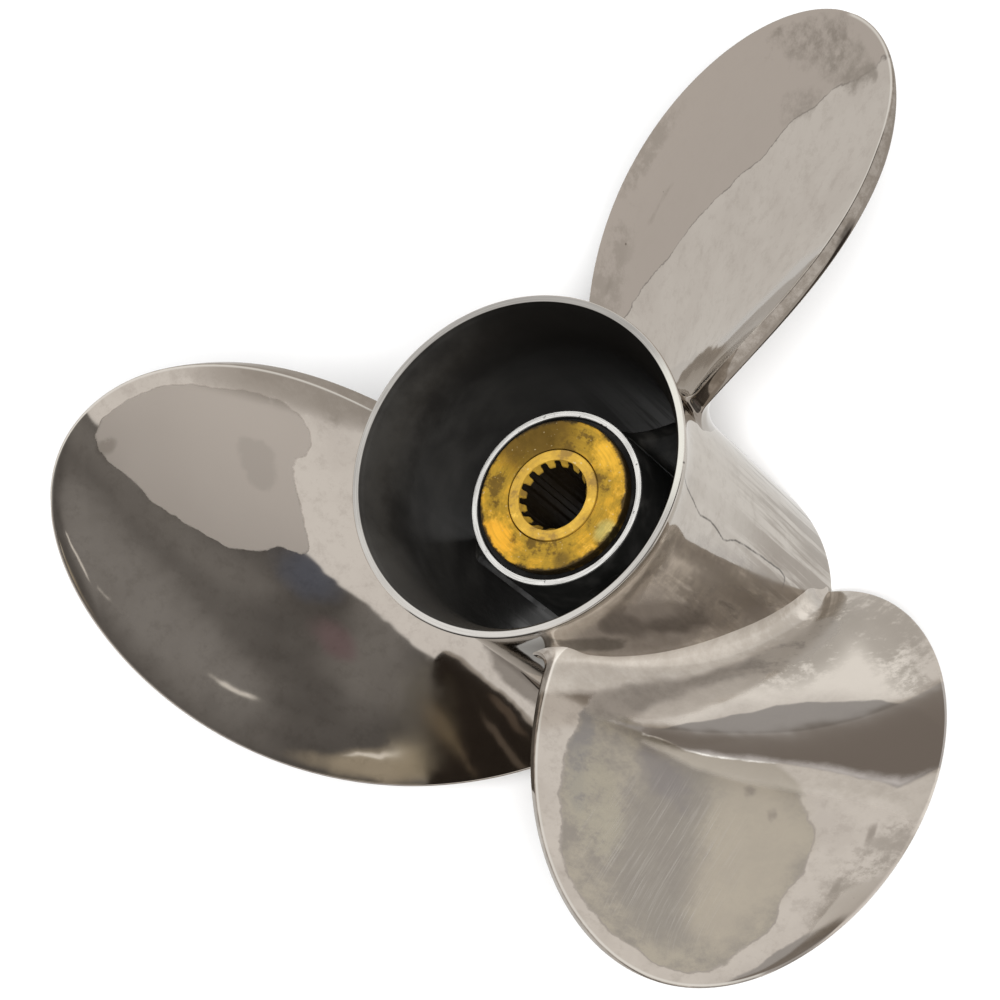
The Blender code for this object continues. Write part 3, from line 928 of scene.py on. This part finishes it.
def soft_light(name, azimuth, elevation, distance, size, power):
    """A large square lamp that faces the object from the given direction."""
    lamp = bpy.data.lights.new(name, "AREA")
    lamp.size = size
    lamp.energy = power
    made = bpy.data.objects.new(name, lamp)
    bpy.context.scene.collection.objects.link(made)
    made.visible_glossy = False
    a, e = math.radians(azimuth), math.radians(elevation)
    back = np.array((math.cos(e) * math.cos(a), math.cos(e) * math.sin(a), math.sin(e)))
    side = np.array((-math.sin(a), math.cos(a), 0.0))
    aim(made, back * distance, side, np.cross(-back, side), -back)


# ---- The propeller ----


def dress(made, node):
    """A finished piece rides on the one body, stands for its node and takes its finish from a slot."""
    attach(made, "root")
    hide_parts(node)


make_camera()
make_floor()
make_world()
make_tent()
soft_light("key", -7.6, 59.0, 2.4, 0.8, 76.0)
bpy.context.scene.view_settings.view_transform = "Standard"

BARREL_MARKS = dict(
    hairline=dict(
        outline=[(30.0, 0.0800), (23.5, 0.0488), (20.9, 0.0413), (22.0, 0.0318), (19.5, 0.0200), (22.8, 0.0123),
                 (25.1, -0.0089), (26.1, -0.0268), (24.9, -0.0319), (21.7, -0.0316), (12.0, -0.0290), (6.0, 0.0100),
                 (1.0, 0.0480), (-5.0, 0.0800)],
        wobble=0.001, line=(0.00055, (0.11, 0.10, 0.09, 1.0), 1.0), within="seam_side",
    ),
    seam_side=dict(
        outline=[(24.0, 0.0900), (16.0, 0.0450), (15.0, 0.0200), (17.0, 0.0000), (20.7, -0.0300), (21.2, -0.0500),
                 (70.0, -0.0500), (70.0, 0.0900)],
    ),
    # A painted dark reflection, mottled, on the barrel below the rim.
    patch_painted_reflection=dict(
        outline=[(8.0, 0.0600), (11.1, 0.0423), (18.0, 0.0050), (20.0, -0.0400), (6.6, -0.0325), (-12.2, -0.0143),
                 (-32.0, 0.0086), (-54.2, 0.0357), (-39.9, 0.0414), (-13.6, 0.0512)],
        wobble=0.014, soft=0.0050, tint=(0.40, 0.368, 0.345, 1.0), amount=0.85, lean=(0.34, 0.62),
    ),
    # A painted dark reflection on the barrel, the lower part of the patch.
    lower_painted_reflection=dict(
        outline=[(-50.5, 0.0423), (-42.3, 0.0503), (-30.9, 0.0516), (-16.4, 0.0462), (-9.3, 0.0415), (-5.3, 0.0226),
                 (-11.2, 0.0048), (-22.8, 0.0013), (-34.5, 0.0119), (-46.1, 0.0266)],
        wobble=0.014, soft=0.0050, tint=(0.320, 0.292, 0.272, 1.0), amount=0.85,
    ),
    # Painted shade: a dark band on the barrel near a blade root.
    painted_shade_band=dict(
        outline=[(-49.1, 0.0493), (-36.4, 0.0406), (-31.5, 0.0311), (-34.0, 0.0261), (-43.7, 0.0335), (-52.9, 0.0383)],
        wobble=0.005, soft=0.0016, tint=(0.10, 0.088, 0.076, 1.0), amount=0.75,
    ),
    shade=dict(
        outline=[(-95.0, 0.0740), (-44.0, 0.0740), (-50.0, 0.0500), (-57.0, 0.0340), (-70.0, 0.0100), (-95.0, 0.0050)],
        wobble=0.006, soft=0.0016, tint=(0.05, 0.044, 0.038, 1.0), amount=0.92,
    ),
)

profile = barrel_profile()
barrel = turned("barrel_skin", profile, barrel_finish(BARREL_MARKS))
index = np.arange(len(profile))
last_outside = 6 + 26 + 40 + 6
in_bore = (index >= last_outside + 2).astype(float)
on_rim = ((index < 2) | (index >= len(profile) - 2)).astype(float)
carry(barrel, "bore", np.repeat(in_bore * (1.0 - on_rim), 288))
carry(barrel, "rim_face", np.repeat(on_rim, 288))
round_way = ((np.arange(288) * 1.25 + 180.0) % 360.0 - 180.0) * math.radians(BARREL)
laid_out = np.stack(np.broadcast_arrays(round_way[None, :], profile[:, 1][:, None]), axis=-1).reshape(-1, 2)
for mark, settings in BARREL_MARKS.items():
    outline = np.asarray(settings["outline"]) * (math.radians(BARREL), 1.0)
    far = way_to(outline, laid_out, settings.get("closed", True))
    carry(barrel, mark, np.where(np.repeat(index, 288) <= last_outside, far, 0.05))
dress(barrel, "barrel")

BLADES = {
    1: dict(
        marks=dict(
            film=dict(
                outline=[(1.06, 0.41), (0.93, 0.44), (0.817, 0.500), (0.684, 0.557), (0.561, 0.663), (0.489, 0.718),
                         (0.461, 0.763), (0.451, 0.799), (0.381, 0.838), (0.341, 0.874), (0.228, 0.905), (0.083, 0.953),
                         (-0.05, 0.975),
                         (0.6, 1.2), (1.3, 1.1), (1.3, 0.35)],
                wobble=0.006, tint=(0.402, 0.350, 0.306, 1.0), amount=0.9, rough=0.05,
                line=(0.00060, (0.20, 0.175, 0.155, 1.0), 0.9),
            ),
            drop=dict(
                outline=[(0.521, 0.815), (0.534, 0.842), (0.489, 0.858), (0.378, 0.856), (0.383, 0.824),
                         (0.431, 0.801), (0.476, 0.792)],
                wobble=0.012, soft=0.0022, tint=(0.28, 0.243, 0.210, 1.0), amount=0.75, lean=(0.36, 0.60),
            ),
            tip_cloud=dict(
                outline=[(0.850, 0.935), (0.887, 0.951), (0.820, 0.969), (0.619, 0.982), (0.363, 0.971),
                         (0.368, 0.930), (0.386, 0.892), (0.546, 0.905), (0.682, 0.915)],
                wobble=0.022, soft=0.0034, tint=(0.25, 0.215, 0.183, 1.0), amount=0.90, lean=(0.36, 0.58),
            ),
            tip_stain=dict(
                outline=[(0.436, 0.940), (0.353, 0.964), (0.153, 0.947), (0.130, 0.921), (0.233, 0.887),
                         (0.338, 0.879), (0.459, 0.908)],
                wobble=0.014, soft=0.0022, tint=(0.27, 0.235, 0.200, 1.0), amount=0.85, lean=(0.34, 0.58),
            ),
            # Painted light: a paler, duller patch along the trailing lip near the root.
            lip_painted_light=dict(
                outline=[(0.007, 0.650), (0.078, 0.597), (0.100, 0.546), (0.110, 0.522), (0.125, 0.497),
                         (0.143, 0.472), (0.158, 0.447), (0.178, 0.420), (0.208, 0.397), (0.007, 0.400)],
                wobble=0.002, soft=0.0022, tint=(0.46, 0.428, 0.390, 1.0), amount=0.92, dull=0.78,
            ),
            root_shade=dict(
                outline=[(0.591, 0.355), (0.481, 0.355), (0.368, 0.360), (0.358, 0.374), (0.306, 0.362),
                         (0.296, 0.374), (0.243, 0.367), (0.160, 0.380), (0.103, 0.419), (0.060, 0.470),
                         (0.015, 0.439), (0.015, 0.360), (0.100, 0.280), (0.600, 0.280)],
                wobble=0.003, soft=0.0009, tint=(0.40, 0.362, 0.325, 1.0), amount=0.55,
            ),
            mark_1=dict(outline=[(0.905, 0.560), (0.925, 0.560), (0.925, 0.580), (0.905, 0.582)], wobble=0.007,
                        soft=0.0014, tint=TARNISH, amount=0.8),
            mark_2=dict(outline=[(0.800, 0.640), (0.812, 0.640), (0.790, 0.690), (0.778, 0.690)], wobble=0.006,
                        soft=0.0014, tint=TARNISH, amount=0.6),
        ),
        blotches=[((0.93, 0.55), (0.10, 0.16), 0.50, TARNISH, 0.6), ((0.96, 0.76), (0.07, 0.08), 0.48, TARNISH, 0.6)],
        polish=0.05,
        hairlines=0.10,
        # A darker colour on the forward face, painted shade.
        forward=(0.34, 0.30, 0.265, 1.0),
    ),
    2: dict(
        marks=dict(
            film=dict(
                outline=[(0.048, 0.788), (0.056, 0.730), (0.058, 0.677), (0.060, 0.625), (0.065, 0.580),
                         (0.085, 0.545), (0.118, 0.523), (0.150, 0.522), (0.180, 0.530), (0.190, 0.548),
                         (0.215, 0.556), (0.260, 0.553), (0.331, 0.546), (0.398, 0.548), (0.408, 0.566),
                         (0.402, 0.600), (0.419, 0.638), (0.431, 0.691), (0.410, 0.735), (0.388, 0.774),
                         (0.368, 0.800), (0.351, 0.824), (0.310, 0.850), (0.273, 0.876), (0.240, 0.900),
                         (0.198, 0.913), (0.140, 0.918), (0.090, 0.910), (0.060, 0.860)],
                wobble=0.004, tint=(0.520, 0.464, 0.414, 1.0), rough=0.42, line=(0.0005, (0.33, 0.29, 0.25, 1.0), 0.7),
            ),
            drop=dict(
                outline=[(0.188, 0.661), (0.168, 0.645), (0.165, 0.613), (0.193, 0.589), (0.238, 0.586),
                         (0.273, 0.607), (0.271, 0.630), (0.238, 0.650)],
                wobble=0.008, soft=0.0014, tint=(0.43, 0.382, 0.340, 1.0), amount=0.70,
            ),
            # A painted dark reflection near the blade's root.
            root_painted_reflection=dict(
                outline=[(0.600, 0.320), (0.612, 0.300), (0.644, 0.270), (0.840, 0.270), (0.810, 0.300),
                         (0.724, 0.306), (0.662, 0.318)],
                wobble=0.003, soft=0.0012, tint=(0.07, 0.058, 0.050, 1.0), amount=0.85,
            ),
            edge_tarnish=dict(
                outline=[(-0.02, 0.700), (-0.02, 0.380), (0.048, 0.403), (0.055, 0.469), (0.038, 0.537),
                         (0.028, 0.627)],
                wobble=0.022, soft=0.0030, tint=(0.25, 0.215, 0.180, 1.0), amount=0.85, lean=(0.40, 0.56),
            ),
            root_shade=dict(
                outline=[(0.554, 0.27), (0.554, 0.315), (0.620, 0.320), (0.680, 0.330), (0.730, 0.340),
                         (0.80, 0.326), (1.05, 0.35), (1.05, 0.27)],
                wobble=0.004, soft=0.0012, tint=DEEP_SHADE, amount=0.80,
            ),
            # A painted cream reflection, rougher than the steel round it.
            cream_painted_reflection=dict(
                outline=[(0.704, 0.478), (0.667, 0.426), (0.764, 0.426), (0.872, 0.473), (0.952, 0.530),
                         (0.972, 0.586), (0.862, 0.548)],
                wobble=0.012, soft=0.0060, tint=(0.60, 0.53, 0.41, 1.0), amount=0.55, rough=0.25,
            ),
        ),
        blotches=[
            ((0.02, 0.52), (0.07, 0.26), 0.40, TARNISH, 0.85),
            ((0.19, 0.90), (0.035, 0.022), 0.40, TARNISH, 0.60),
        ],
        polish=0.05,
        hairlines=0.10,
        base=(0.575, 0.520, 0.465, 1.0),
        # A darker colour on the forward face, painted shade.
        forward=(0.30, 0.26, 0.225, 1.0),
    ),
    3: dict(
        marks=dict(
            film=dict(
                outline=[(0.110, 0.394), (0.093, 0.421), (0.075, 0.460), (0.065, 0.491), (0.058, 0.530),
                         (0.050, 0.566), (0.048, 0.613), (0.035, 0.675), (0.030, 0.716), (0.035, 0.747),
                         (0.038, 0.793), (0.055, 0.842), (0.078, 0.878), (0.085, 0.919), (0.123, 0.951),
                         (0.203, 0.960), (0.298, 0.949), (0.376, 0.931), (0.444, 0.926), (0.499, 0.906),
                         (0.506, 0.863), (0.534, 0.849), (0.576, 0.838), (0.581, 0.806), (0.594, 0.768),
                         (0.574, 0.727), (0.551, 0.677), (0.534, 0.638), (0.516, 0.604), (0.474, 0.575),
                         (0.396, 0.536), (0.328, 0.505), (0.303, 0.487), (0.273, 0.466), (0.236, 0.453),
                         (0.231, 0.428), (0.190, 0.403)],
                wobble=0.007, soft=0.0010, tint=(0.310, 0.278, 0.242, 1.0), other=(0.445, 0.398, 0.322, 1.0),
                amount=0.95, rough=0.10, line=(0.0009, (0.27, 0.235, 0.215, 1.0), 0.5),
            ),
            tan=dict(
                outline=[(0.393, 0.543), (0.514, 0.611), (0.559, 0.711), (0.571, 0.793), (0.504, 0.847),
                         (0.446, 0.890), (0.301, 0.922), (0.246, 0.865), (0.318, 0.733), (0.373, 0.620)],
                wobble=0.014, soft=0.0080, tint=(0.485, 0.430, 0.350, 1.0), amount=0.78,
            ),
            smear=dict(
                outline=[(0.300, 0.500), (0.380, 0.545), (0.350, 0.640), (0.290, 0.740), (0.230, 0.880),
                         (0.140, 0.880), (0.120, 0.740), (0.190, 0.600)],
                wobble=0.012, soft=0.0060, tint=(0.262, 0.240, 0.222, 1.0), amount=0.62, lean=(0.30, 0.60),
            ),
            blue_patch=dict(
                outline=[(0.105, 0.399), (0.078, 0.460), (0.065, 0.550), (0.090, 0.596), (0.115, 0.559),
                         (0.115, 0.480), (0.130, 0.428)],
                wobble=0.012, soft=0.0016, tint=(0.275, 0.255, 0.245, 1.0), amount=0.80,
            ),
            purple_patch=dict(
                outline=[(0.228, 0.464), (0.281, 0.491), (0.328, 0.588), (0.301, 0.622), (0.248, 0.570),
                         (0.226, 0.505)],
                wobble=0.014, soft=0.0040, tint=(0.265, 0.240, 0.232, 1.0), amount=0.75,
            ),
            # Painted light: a paler, duller strip along the root.
            root_strip_painted_light=dict(
                outline=[(-0.02, 0.270), (0.920, 0.270), (0.917, 0.301), (0.817, 0.335), (0.754, 0.349),
                         (0.629, 0.337), (0.499, 0.333), (0.376, 0.341), (0.268, 0.345), (0.138, 0.356),
                         (0.065, 0.363), (-0.02, 0.371)],
                wobble=0.003, soft=0.0020, tint=(0.470, 0.428, 0.380, 1.0), other=(0.385, 0.345, 0.300, 1.0),
                amount=0.97, dull=0.88,
            ),
            # Painted light: a pale region over the upper part of the blade.
            upper_painted_light=dict(
                outline=[(0.845, 0.285), (0.890, 0.365), (0.912, 0.480), (0.922, 0.584), (0.937, 0.681),
                         (0.875, 0.661), (0.712, 0.539), (0.576, 0.469), (0.449, 0.428), (0.396, 0.437),
                         (0.343, 0.448), (0.291, 0.426), (0.371, 0.383), (0.514, 0.369), (0.649, 0.355)],
                wobble=0.010, soft=0.0060, tint=(0.78, 0.715, 0.640, 1.0), amount=0.9,
            ),
            # Painted light: a paler, duller band below the painted shade wedge.
            shelf_painted_light=dict(
                outline=[(0.236, 0.466), (0.350, 0.548), (0.473, 0.624), (0.597, 0.695), (0.714, 0.760),
                         (0.809, 0.808), (0.897, 0.851), (1.050, 0.905), (1.050, 0.830), (0.995, 0.820),
                         (0.847, 0.780), (0.719, 0.712), (0.612, 0.642), (0.474, 0.563), (0.358, 0.511)],
                wobble=0.003, soft=0.0016, tint=(0.480, 0.435, 0.385, 1.0), other=(0.400, 0.360, 0.315, 1.0),
                amount=0.92, dull=0.80,
            ),
            shelf_film=dict(
                outline=[(0.200, 0.430), (0.353, 0.549), (0.476, 0.623), (0.572, 0.690), (0.550, 0.640),
                         (0.520, 0.590), (0.474, 0.558), (0.358, 0.506)],
                wobble=0.004, soft=0.0014, tint=(0.330, 0.295, 0.245, 1.0), amount=0.85,
            ),
            mid_streak=dict(
                outline=[(0.215, 0.420), (0.255, 0.392), (0.303, 0.374), (0.368, 0.364), (0.409, 0.366),
                         (0.465, 0.356), (0.515, 0.362), (0.565, 0.385), (0.570, 0.405), (0.509, 0.413),
                         (0.441, 0.411), (0.386, 0.419), (0.333, 0.430), (0.286, 0.428)],
                wobble=0.006, soft=0.0026, tint=(0.410, 0.368, 0.322, 1.0), other=(0.350, 0.312, 0.270, 1.0),
                amount=0.90, dull=0.80,
            ),
            # A painted dark reflection: a band near the root, duller than the steel.
            top_painted_reflection=dict(
                outline=[(0.110, 0.394), (0.120, 0.371), (0.153, 0.348), (0.208, 0.335), (0.291, 0.333),
                         (0.331, 0.337), (0.393, 0.339), (0.464, 0.335), (0.531, 0.340), (0.579, 0.328),
                         (0.647, 0.335), (0.704, 0.330), (0.774, 0.337), (0.827, 0.340), (0.857, 0.360),
                         (0.855, 0.394), (0.817, 0.410), (0.779, 0.416), (0.722, 0.407), (0.662, 0.408),
                         (0.637, 0.396), (0.591, 0.391), (0.544, 0.383), (0.491, 0.371), (0.426, 0.369),
                         (0.363, 0.369), (0.321, 0.385), (0.263, 0.391), (0.238, 0.408), (0.165, 0.419)],
                wobble=0.008, soft=0.0020, tint=(0.165, 0.143, 0.122, 1.0), other=(0.240, 0.210, 0.180, 1.0),
                amount=0.90, dull=0.78,
            ),
            shade=dict(
                outline=[(0.236, 0.450), (0.273, 0.464), (0.306, 0.484), (0.328, 0.503), (0.396, 0.534),
                         (0.444, 0.559), (0.474, 0.573), (0.534, 0.604), (0.612, 0.652), (0.677, 0.693),
                         (0.719, 0.722), (0.769, 0.750), (0.842, 0.788), (0.892, 0.799), (0.927, 0.806),
                         (1.000, 0.817), (0.992, 0.785), (0.982, 0.754), (0.942, 0.724), (0.915, 0.700),
                         (0.907, 0.684), (0.840, 0.636), (0.807, 0.609), (0.722, 0.557), (0.634, 0.505),
                         (0.559, 0.476), (0.506, 0.469), (0.466, 0.457), (0.401, 0.451), (0.346, 0.444),
                         (0.303, 0.446)],
                wobble=0.002, soft=0.0005, tint=(0.275, 0.250, 0.232, 1.0), amount=0.90,
                # Painted highlight: a bright broken line along the wedge's border with the film.
                line=(0.00075, (1.0, 0.97, 0.92, 1.0), 1.0), beside="film",
            ),
            low_shade=dict(
                outline=[(0.155, 0.414), (0.326, 0.457), (0.459, 0.502), (0.594, 0.557), (0.742, 0.611),
                         (0.887, 0.657), (1.020, 0.695), (1.020, 0.820), (0.995, 0.815), (0.842, 0.786),
                         (0.769, 0.748), (0.719, 0.720), (0.612, 0.650), (0.534, 0.602), (0.444, 0.557),
                         (0.328, 0.501), (0.273, 0.462)],
                wobble=0.0, soft=0.0006, tint=(0.450, 0.415, 0.390, 1.0), amount=0.92,
            ),
            foot_gleam=dict(
                outline=[(0.700, 0.945), (0.722, 0.930), (0.745, 0.915), (0.787, 0.912), (0.887, 0.918), (0.980, 0.922),
                         (1.050, 0.915), (1.050, 0.985), (0.920, 0.965), (0.855, 0.958), (0.700, 0.958)],
                wobble=0.003, soft=0.0016, tint=(0.350, 0.312, 0.275, 1.0), amount=0.92, dull=0.80,
            ),
            foot_shade=dict(
                outline=[(0.090, 0.991), (0.414, 0.980), (0.549, 0.961), (0.694, 0.958), (0.855, 0.957),
                         (0.920, 0.962), (1.050, 1.050), (0.090, 1.050)],
                wobble=0.004, soft=0.0006, tint=(0.275, 0.247, 0.225, 1.0), amount=0.85,
            ),
            spot_1=dict(outline=[(0.440, 0.620), (0.462, 0.620), (0.464, 0.636), (0.442, 0.640)], wobble=0.006,
                        soft=0.0012, tint=TARNISH, amount=0.8),
            spot_2=dict(outline=[(0.484, 0.684), (0.502, 0.682), (0.502, 0.698), (0.486, 0.698)], wobble=0.006,
                        soft=0.0012, tint=TARNISH, amount=0.8),
            spot_3=dict(outline=[(0.764, 0.822), (0.792, 0.822), (0.792, 0.846), (0.764, 0.846)], wobble=0.006,
                        soft=0.0014, tint=TARNISH, amount=0.8),
            spot_4=dict(outline=[(0.688, 0.886), (0.716, 0.886), (0.716, 0.902), (0.688, 0.902)], wobble=0.006,
                        soft=0.0014, tint=TARNISH, amount=0.8),
        ),
        blotches=[
            ((0.74, 0.37), (0.24, 0.12), 0.47, (0.36, 0.32, 0.275, 1.0), 0.85),
            ((0.93, 0.50), (0.12, 0.20), 0.47, (0.36, 0.32, 0.275, 1.0), 0.80),
            ((0.82, 0.91), (0.22, 0.08), 0.49, (0.36, 0.32, 0.275, 1.0), 0.70),
            ((0.12, 0.58), (0.07, 0.14), 0.46, (0.47, 0.43, 0.34, 1.0), 0.60),
        ],
        polish=0.08,
        hairlines=1.0,
        base=(0.600, 0.540, 0.480, 1.0),
        # A darker colour on the forward face, painted shade.
        forward=(0.27, 0.235, 0.205, 1.0),
    ),
}

for number, look in BLADES.items():
    skin = blade("blade_%d_skin" % number, 120.0 * (number - 1), blade_finish(number, **look), look["marks"])
    dress(skin, "blade_%d" % number)

profile = ring_profile(HUB - 0.00005, HUB_BORE, HUB_LOW, HUB_TOP, 0.0004, rows=12)
hub = turned("inner_hub_tube", profile, hub_finish(), steps=240)
carry(hub, "face", np.repeat((profile[:, 1] > HUB_TOP - 0.00025).astype(float), 240))
dress(hub, "inner_hub")

soot = rib_finish()
for number in (1, 2, 3):
    made = rib("rib_%d_cast" % number, 120.0 * (number - 1), soot)
    dress(made, "rib_%d" % number)

plate_brass = brass_finish(
    "tarnished_plate_brass",
    (0.70, 0.390, 0.038, 1.0),
    (0.48, 0.292, 0.035, 1.0),
    (0.15, 0.090, 0.022, 1.0),
    (0.92, 0.54, 0.075, 1.0),
    places=(
        ((-0.0088, -0.0205), (0.0110, 0.0055), (1.00, 0.50, 0.045, 1.0), 0.85),
        ((0.0100, 0.0195), (0.0095, 0.0060), (0.98, 0.56, 0.060, 1.0), 0.80),
        ((-0.0175, 0.0140), (0.0210, 0.0170), (0.135, 0.080, 0.016, 1.0), 0.94),
        ((0.0225, -0.0015), (0.0040, 0.0050), (0.62, 0.56, 0.200, 1.0), 0.70),
        ((0.0155, -0.0160), (0.0040, 0.0040), (0.130, 0.085, 0.025, 1.0), 0.70),
    ),
)
plate = turned("end_plate_disc", end_plate_profile(), plate_brass, steps=240)
dress(plate, "end_plate")
sleeve_brass = brass_finish(
    "sleeve_brass",
    (0.70, 0.43, 0.055, 1.0),
    (0.56, 0.34, 0.045, 1.0),
    (0.30, 0.18, 0.045, 1.0),
    (0.95, 0.62, 0.120, 1.0),
    black_bore=True,
)
sleeve = splined_sleeve("splined_sleeve_body", sleeve_brass)
dress(sleeve, "splined_sleeve")
bushing = turned("rubber_bushing_ring", bushing_profile(), rubber_finish(), steps=160)
dress(bushing, "rubber_bushing")
